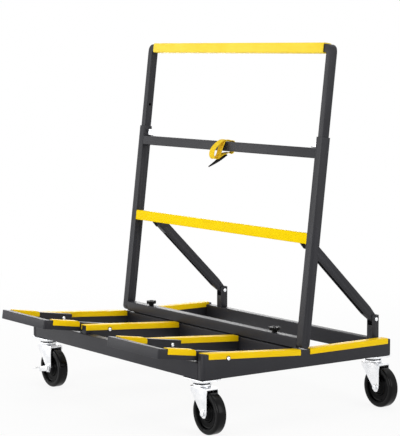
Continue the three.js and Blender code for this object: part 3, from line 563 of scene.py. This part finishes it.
def domedHead(name, start, end):
    head = addDisc(name, boltShape["head"] * mm, start, end, roundSides)
    outward = (Vector(end) - Vector(start)).normalized()
    outside = lambda face: face.normal.dot(outward) > 0.99
    roundEdges(head, boltShape["dome"] * mm, 5, lambda edge: any(map(outside, edge.link_faces)))
    editMode(head)
    select(head, "faces", lambda face: outside(face) and len(face.verts) == roundSides)
    rim = boltShape["head"] - boltShape["dome"] - boltShape["socket"]
    bpy.ops.mesh.inset(thickness=rim * mm, depth=boltShape["crown"] * mm)
    bpy.ops.mesh.inset(thickness=boltShape["socketTaper"] * mm, depth=-boltShape["socketDepth"] * mm)
    objectMode()
    return head


def endsOf(node, axis):
    low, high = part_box(node)
    centre = (low + high) / 2
    step = Vector([float(i == axis) for i in range(3)])
    half = step * (high - low)[axis] / 2
    return centre - half, centre + half, step


# The domed head faces +X on every bolt, towards the camera side
def bolt(node):
    first, last, step = endsOf(node, 0)
    height = step * boltShape["height"] * mm
    parts = [
        addDisc("shank", boltShape["shank"] * mm, first, last - height, roundSides),
        domedHead("head", last - height, last),
        hexHead("nut", boltShape["nut"] * mm, first + height, first + step * boltShape["nutInset"] * mm),
    ]
    easeEdges(parts[0], boltShape["shankSoft"] * mm)
    piece = joinPieces(pieceName(node), parts)
    smooth(piece, 30)
    return fit(piece, node)


def axle(node):
    first, last, step = endsOf(node, 1)
    height = step * axleShape["height"] * mm
    washer = step * axleShape["washer"] * mm
    rim = (axleShape["head"] + axleShape["washerRim"]) * mm
    nutEnd = last - step * axleShape["nutInset"] * mm
    parts = [
        addDisc("shank", axleShape["shank"] * mm, first + height, last, roundSides),
        hexHead("head", axleShape["head"] * mm, first + height - washer, first),
        hexHead("nut", axleShape["head"] * mm, last - height + washer, nutEnd),
        addDisc("headWasher", rim, first + height - washer, first + height, roundSides),
        addDisc("nutWasher", rim, last - height, last - height + washer, roundSides),
    ]
    for part in (parts[0], *parts[3:]):
        easeEdges(part, axleShape["soft"] * mm)
    piece = joinPieces(pieceName(node), parts)
    smooth(piece, 30)
    return fit(piece, node)


for side, sign in sides:
    for node in (f"brace_pivot_bolt_{side}", f"flap_bolt_{side}_inner", f"flap_bolt_{side}_outer"):
        bolt(node)
for corner in corners:
    axle(f"caster_axle_{corner}")
print("bolts and axles made")


# Wheels: a solid tyre with rounded shoulders round a deep dished hub with a raised boss
wheelShape = {
    "sides": 96,
    "tyreWidth": 32,
    "shoulder": 7,
    "tyreInner": 48.5,
    "bore": 5.4,
    "rim": 0.35,
    # inset and height of each step inwards from the tyre's side face
    "steps": [(6.5, 0.2), (1.0, -1.2), (1.0, 1.0), (2.2, 0.2), (2.0, -7.2), (14.8, -1.0),
              (1.6, 3.0), (3.4, 0.0), (2.0, 3.5), (3.0, 3.7)],
}


def wheel(corner):
    node = f"caster_wheel_{corner}"
    low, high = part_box(node)
    centre = (low + high) / 2
    half = Vector((0, wheelShape["tyreWidth"] * mm / 2, 0))
    radius = (high.z - low.z) / 2
    piece = addDisc(pieceName(node), radius, centre - half, centre + half, wheelShape["sides"])
    sideFace = lambda face: abs(face.normal.y) > 0.99 and len(face.verts) == wheelShape["sides"]
    roundEdges(piece, wheelShape["shoulder"] * mm, 6, lambda edge: any(map(sideFace, edge.link_faces)))
    editMode(piece)
    select(piece, "faces", sideFace)
    for inset, height in wheelShape["steps"]:
        bpy.ops.mesh.inset(thickness=inset * mm, depth=height * mm, use_individual=True)
    reach = radius - (wheelShape["shoulder"] + sum(inset for inset, height in wheelShape["steps"])) * mm
    bpy.ops.mesh.inset(thickness=reach - wheelShape["bore"] * mm, depth=0, use_individual=True)
    bpy.ops.mesh.delete(type="FACE")
    select(piece, "edges", lambda edge: len(edge.link_faces) == 1)
    bpy.ops.mesh.bridge_edge_loops()
    objectMode()
    easeEdges(piece, wheelShape["rim"] * mm, 2, 25)
    piece.data.materials.append(tyreRubber)
    piece.data.materials.append(hubNylon)
    for face in piece.data.polygons:
        offset = face.center - centre
        face.material_index = int(math.hypot(offset.x, offset.z) < wheelShape["tyreInner"] * mm)
    smooth(piece, 32)
    return fit(piece, node)


for corner in corners:
    wheel(corner)
print("wheels made")


# Caster plates: pressed plate, ball raceway in two cups with a black ring between them as painted shade in
# their gap, king bolt and four plate bolts
plateShape = {
    "thickness": 4, "corner": 6, "rim": 0.6, "king": 7, "kingReach": 5.6,
    "race": 29, "raceStep": 2, "raceSoft": 2.5, "sealInset": 5, "raceSides": 64,
    # where the cups and the black painted-shade ring between them start and end, as shares of the raceway's
    # height
    "upperCup": (0.0, 0.42), "lowerCup": (0.64, 1.0), "seal": (0.3, 0.7), "kingTop": 0.5,
    "boltInset": 13, "boltHead": 6.5, "boltHeight": 3, "washer": 1, "washerRim": 1.2,
}


def casterPlate(corner):
    node = f"caster_plate_{corner}"
    low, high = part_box(node)
    centre = (low + high) / 2
    under = high.z - plateShape["thickness"] * mm
    at = lambda x, y, z: Vector((centre.x + x * mm, centre.y + y * mm, z))
    plate = addBlock("plate", (low.x, low.y, under), high)
    roundEdges(plate, plateShape["corner"] * mm, 5, lambda edge: not levelEdge(edge))
    easeEdges(plate, plateShape["rim"] * mm)

    raceHeight = under - low.z - plateShape["kingReach"] * mm
    ring = lambda name, radius, span: addDisc(
        name, radius * mm, at(0, 0, under - raceHeight * span[1]), at(0, 0, under - raceHeight * span[0]),
        plateShape["raceSides"],
    )
    race = plateShape["race"]
    soft = plateShape["raceSoft"] * mm
    upper = ring("upperCup", race, plateShape["upperCup"])
    roundEdges(upper, soft, 4, lambda edge: all(vert.co.z < under - mm for vert in edge.verts))
    lower = ring("lowerCup", race - plateShape["raceStep"], plateShape["lowerCup"])
    roundEdges(lower, soft, 4, levelEdge)
    # painted shade: a black ring in the gap between the two cups
    seal = ring("seal", race - plateShape["sealInset"], plateShape["seal"])
    kingTop = under - raceHeight * plateShape["kingTop"]
    king = addDisc("kingBolt", plateShape["king"] * mm, at(0, 0, low.z), at(0, 0, kingTop), roundSides)
    parts = [plate, upper, lower, seal, king]

    boltX = (high.x - low.x) / 2 / mm - plateShape["boltInset"]
    boltY = (high.y - low.y) / 2 / mm - plateShape["boltInset"]
    seat = under - plateShape["washer"] * mm
    tip = seat - plateShape["boltHeight"] * mm
    washerRadius = (plateShape["boltHead"] + plateShape["washerRim"]) * mm
    for x in (-boltX, boltX):
        for y in (-boltY, boltY):
            parts.append(addDisc("washer", washerRadius, at(x, y, under), at(x, y, seat), 32))
            parts.append(hexHead("head", plateShape["boltHead"] * mm, at(x, y, seat), at(x, y, tip)))
    for part in parts:
        part.data.materials.append(knobNylon if part is seal else zincPlate)
    piece = joinPieces(pieceName(node), parts)
    smooth(piece, 30)
    return fit(piece, node)


for corner in corners:
    casterPlate(corner)
print("caster plates made")


# Clamp knobs: a lobed nylon head on a boss, with the stud and its nut below
knobShape = {
    "lobes": 6, "radius": 15.5, "lobeDepth": 2.2, "height": 11, "soft": 2.4,
    "dish": (3.5, -0.8), "button": (1.0, 0.6),  # inset and height of the steps in its top
    "stem": 5, "boss": 8, "bossSoft": 0.8, "overlap": 2, "stud": 4, "nut": 8, "nutHeight": 5,
}


def clampKnob(side):
    node = f"clamp_knob_{side}"
    low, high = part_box(node)
    centre = (low + high) / 2
    at = lambda z: Vector((centre.x, centre.y, z))
    under = high.z - knobShape["height"] * mm
    head = addDisc("head", knobShape["radius"] * mm, at(under), at(high.z), 96)
    for vert in head.data.vertices:
        offset = vert.co - at(vert.co.z)
        turn = math.atan2(offset.y, offset.x)
        radius = knobShape["radius"] - knobShape["lobeDepth"] * (1 - math.cos(knobShape["lobes"] * turn))
        vert.co = at(vert.co.z) + offset.normalized() * radius * mm
    roundEdges(head, knobShape["soft"] * mm, 4, levelEdge)
    editMode(head)
    select(head, "faces", lambda face: face.normal.z > 0.99 and len(face.verts) > 20)
    for inset, height in (knobShape["dish"], knobShape["button"]):
        bpy.ops.mesh.inset(thickness=inset * mm, depth=height * mm)
    objectMode()
    seat = under - knobShape["stem"] * mm
    overlap = knobShape["overlap"] * mm
    boss = addDisc("boss", knobShape["boss"] * mm, at(seat), at(under + overlap), 48)
    easeEdges(boss, knobShape["bossSoft"] * mm, 3)
    stud = addDisc("stud", knobShape["stud"] * mm, at(low.z), at(seat + overlap), 32)
    nut = hexHead("nut", knobShape["nut"] * mm, at(low.z + knobShape["nutHeight"] * mm), at(low.z))
    for metal in (stud, nut):
        metal.data.materials.append(zincPlate)
    for plastic in (head, boss):
        plastic.data.materials.append(knobNylon)
    piece = joinPieces(pieceName(node), [head, boss, stud, nut])
    smooth(piece, 35)
    return fit(piece, node)


for side, sign in sides:
    clampKnob(side)
print("knobs made")


# Snap pins: a rod into the tube with a finger post to pull it by
pinShape = {"radius": 4, "soft": 0.8, "postInset": 20, "postRadius": 4.5, "postSoft": 1.2}


def snapPin(side, sign):
    node = f"snap_pin_{side}"
    low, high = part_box(node)
    radius = pinShape["radius"] * mm
    tip = high.x if sign > 0 else low.x
    free = low.x if sign > 0 else high.x
    axis = Vector((0, low.y + radius, low.z + radius))
    at = lambda x: axis + Vector((x, 0, 0))
    rod = addDisc("rod", radius, at(tip), at(free), roundSides)
    easeEdges(rod, pinShape["soft"] * mm, 3)
    root = at(free + sign * pinShape["postInset"] * mm)
    postRadius = pinShape["postRadius"] * mm
    rise = (high.z - axis.z) / leanAxis.z - postRadius * leanAxis.y / leanAxis.z
    post = addDisc("post", postRadius, root, root + leanAxis * rise, roundSides)
    easeEdges(post, pinShape["postSoft"] * mm, 4)
    piece = joinPieces(pieceName(node), [rod, post])
    smooth(piece, 30)
    return fit(piece, node)


for side, sign in sides:
    snapPin(side, sign)
print("snap pins made")


# Strap: a slack band that bows out ahead of the upper crossbar, a second layer inside it, a black tail
strapShape = {
    "thickness": 2.0,
    "samples": 12,  # between one route point and the next
    "across": 6,
    "crown": 0.5,
    # along the crossbar, rearwards and up from its middle, and width, in millimetres
    "band": [
        (13, 14.6, 0, 25), (12, 14.4, 11, 25), (10, 11, 17.2, 25), (6, 0, 19.4, 25), (3, -10, 20, 25),
        (0, -21, 16.5, 25), (-4, -32, 6, 25), (-7, -41, -6, 25), (-9, -46.5, -19, 25), (-10, -46, -33, 25),
        (-10, -38.5, -42, 25), (-9, -28, -40.5, 25), (-7, -18, -32, 25), (-2, -9, -24.6, 25),
        (4, 2, -20, 25), (10, 11, -18, 25), (13, 14.5, -10, 25),
    ],
    "layer": [
        (6, 5, 17, 23), (3, -8, 17, 23), (1, -14.6, 14.6, 23), (-1, -17, 7, 23), (-4, -18.5, -4, 23),
        (-7, -19.5, -15, 23), (-8.5, -20.6, -25, 23), (-9.3, -23.5, -33, 23), (-9.8, -29, -37.6, 22),
    ],
    "tail": [
        (8, -3, -24, 24), (3, -10, -31, 24), (-7, -21, -45, 20), (-17, -31.5, -57.5, 13), (-27, -42, -69, 4),
    ],
}


def smoothRoute(route, closed):
    count = len(route)
    points = [Vector(point) for point in route]
    near = lambda i: points[i % count] if closed else points[min(max(i, 0), count - 1)]
    line = []
    for i in range(count if closed else count - 1):
        a, b, c, d = (near(i + k) for k in (-1, 0, 1, 2))
        for step in range(strapShape["samples"]):
            s = step / strapShape["samples"]
            line.append(b + (c - a) * s / 2 + (a * 2 - b * 5 + c * 4 - d) * s * s / 2
                        + (b * 3 - a - c * 3 + d) * s ** 3 / 2)
    return line if closed else line + [points[-1]]


def ribbon(name, route, closed, material):
    low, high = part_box("upper_crossbar")
    centre = (low + high) / 2
    line = smoothRoute([Vector(point) * mm for point in route], closed)
    count, across = len(line), strapShape["across"]
    spots = [centre + Vector((p[0], 0, 0)) + leanAcross * p[1] + leanAxis * p[2] for p in line]
    verts, marks, run = [], [], 0.0
    for i, spot in enumerate(spots):
        ahead = spots[(i + 1) % count] if closed else spots[min(i + 1, count - 1)]
        behind = spots[i - 1] if closed or i else spot
        course = (ahead - behind).normalized()
        wide = (Vector((1, 0, 0)) - course * course.x).normalized()
        up = wide.cross(course)
        run += (spot - spots[i - 1]).length if i else 0
        for j in range(across + 1):
            share = 2 * j / across - 1
            crown = strapShape["crown"] * mm * (1 - share * share)
            verts.append(spot + wide * share * line[i][3] / 2 + up * crown)
            marks.append((run, share * line[i][3] / 2))
    rows = count if closed else count - 1
    faces = []
    for i in range(rows):
        here, there = i * (across + 1), (i + 1) % count * (across + 1)
        faces += [(here + j, there + j, there + j + 1, here + j + 1) for j in range(across)]
    mesh = bpy.data.meshes.new(name)
    mesh.from_pydata(verts, [], faces)
    weave = mesh.uv_layers.new(name="weave")
    for loop in mesh.loops:
        weave.data[loop.index].uv = marks[loop.vertex_index]
    piece = bpy.data.objects.new(name, mesh)
    bpy.context.collection.objects.link(piece)
    pickOnly(piece)
    bpy.ops.object.modifier_add(type="SOLIDIFY")
    wall = piece.modifiers[-1]
    wall.thickness = strapShape["thickness"] * mm
    wall.offset = 0
    bpy.ops.object.modifier_apply(modifier=wall.name)
    piece.data.materials.append(material)
    return piece


band = ribbon("band", strapShape["band"], True, loopBand)
layer = ribbon("layer", strapShape["layer"], False, loopBand)
tail = ribbon("strapTail", strapShape["tail"], False, hookBand)
for node, piece in (("strap_band", joinPieces("strapBand", [band, layer])), ("strap_tail", tail)):
    smooth(piece, 40)
    fit(piece, node)
print("strap made")

# Floor, lamps and surroundings
studio = {"floor": 60, "floorWhite": 0.88, "ambient": 0.4, "fadeFrom": 0.9, "fadeTo": 3.0}
deselectAll()
bpy.ops.mesh.primitive_plane_add(size=studio["floor"])
floor = startPiece("floor")


# White to the camera and in reflections, duller to everything else
def brightToCamera(tree):
    path = addNode(tree, "ShaderNodeLightPath")
    seen = path.outputs["Is Camera Ray"]
    for name in ("Is Glossy Ray", "Is Transmission Ray"):
        either = addNode(tree, "ShaderNodeMath", {0: seen, 1: path.outputs[name]}, operation="MAXIMUM")
        seen = either.outputs["Value"]
    return seen


floorMaterial, floorTree, floorShader, floorPlace = newMaterial(
    "palePaper", Roughness=0.9, Specular_IOR_Level=0.1,
)
floorShader.inputs["Base Color"].default_value = hexToLinear("#f2f2f2")
glow = addNode(floorTree, "ShaderNodeEmission", {"Color": (1, 1, 1, 1), "Strength": 1.0})
reach = addNode(floorTree, "ShaderNodeVectorMath", {0: floorPlace}, operation="LENGTH")
fade = addNode(floorTree, "ShaderNodeMapRange", {
    "Value": reach.outputs["Value"], "From Min": studio["fadeFrom"], "From Max": studio["fadeTo"],
    "To Min": studio["floorWhite"], "To Max": 1.0,
}, interpolation_type="SMOOTHSTEP")
share = addNode(floorTree, "ShaderNodeMath", {
    0: brightToCamera(floorTree), 1: fade.outputs["Result"],
}, operation="MULTIPLY")
mixed = addNode(floorTree, "ShaderNodeMixShader", {
    "Fac": share.outputs["Value"], 1: floorShader.outputs["BSDF"], 2: glow.outputs["Emission"],
})
floorTree.links.new(mixed.outputs["Shader"], floorTree.nodes["Material Output"].inputs["Surface"])
floor.data.materials.append(floorMaterial)

world = bpy.data.worlds.new("studioWhite")
bpy.context.scene.world = world
world.use_nodes = True
level = addNode(world.node_tree, "ShaderNodeMapRange", {
    "Value": brightToCamera(world.node_tree), "To Min": studio["ambient"], "To Max": 1.0,
})
background = world.node_tree.nodes["Background"]
background.inputs["Color"].default_value = (1, 1, 1, 1)
world.node_tree.links.new(level.outputs["Result"], background.inputs["Strength"])

lamps = {  # place, width and height in metres, brightness on a white surface that faces the lamp
    "key": {"place": (-3.0, -3.0, 0.5), "size": (2.0, 0.8), "level": 0.07},
    "front": {"place": (1.0, -4.6, 1.0), "size": (2.4, 1.6), "level": 0.36},
    "strip": {"place": (-1.8, -1.8, 1.2), "size": (0.7, 1.3), "level": 0.17},
    "side": {"place": (4.8, 1.2, 2.2), "size": (3.4, 3.4), "level": 0.32},
    "top": {"place": (0.3, 0.2, 4.6), "size": (3.2, 3.2), "level": 0.36},
    "back": {"place": (-3.4, 2.4, 1.2), "size": (2.2, 2.2), "level": 0.25},
}
aim = Vector((0, 0, 0.5))
for name, lamp in lamps.items():
    away = aim - Vector(lamp["place"])
    turn = away.to_track_quat("-Z", "Y").to_euler()
    bpy.ops.object.light_add(type="AREA", location=lamp["place"], rotation=turn)
    light = bpy.context.object
    light.name = name
    light.data.shape = "RECTANGLE"
    light.data.size, light.data.size_y = lamp["size"]
    light.visible_camera = False
    light.data.energy = math.pi ** 2 * away.length_squared * lamp["level"]
bpy.context.scene.view_settings.view_transform = "Standard"
print("studio set")
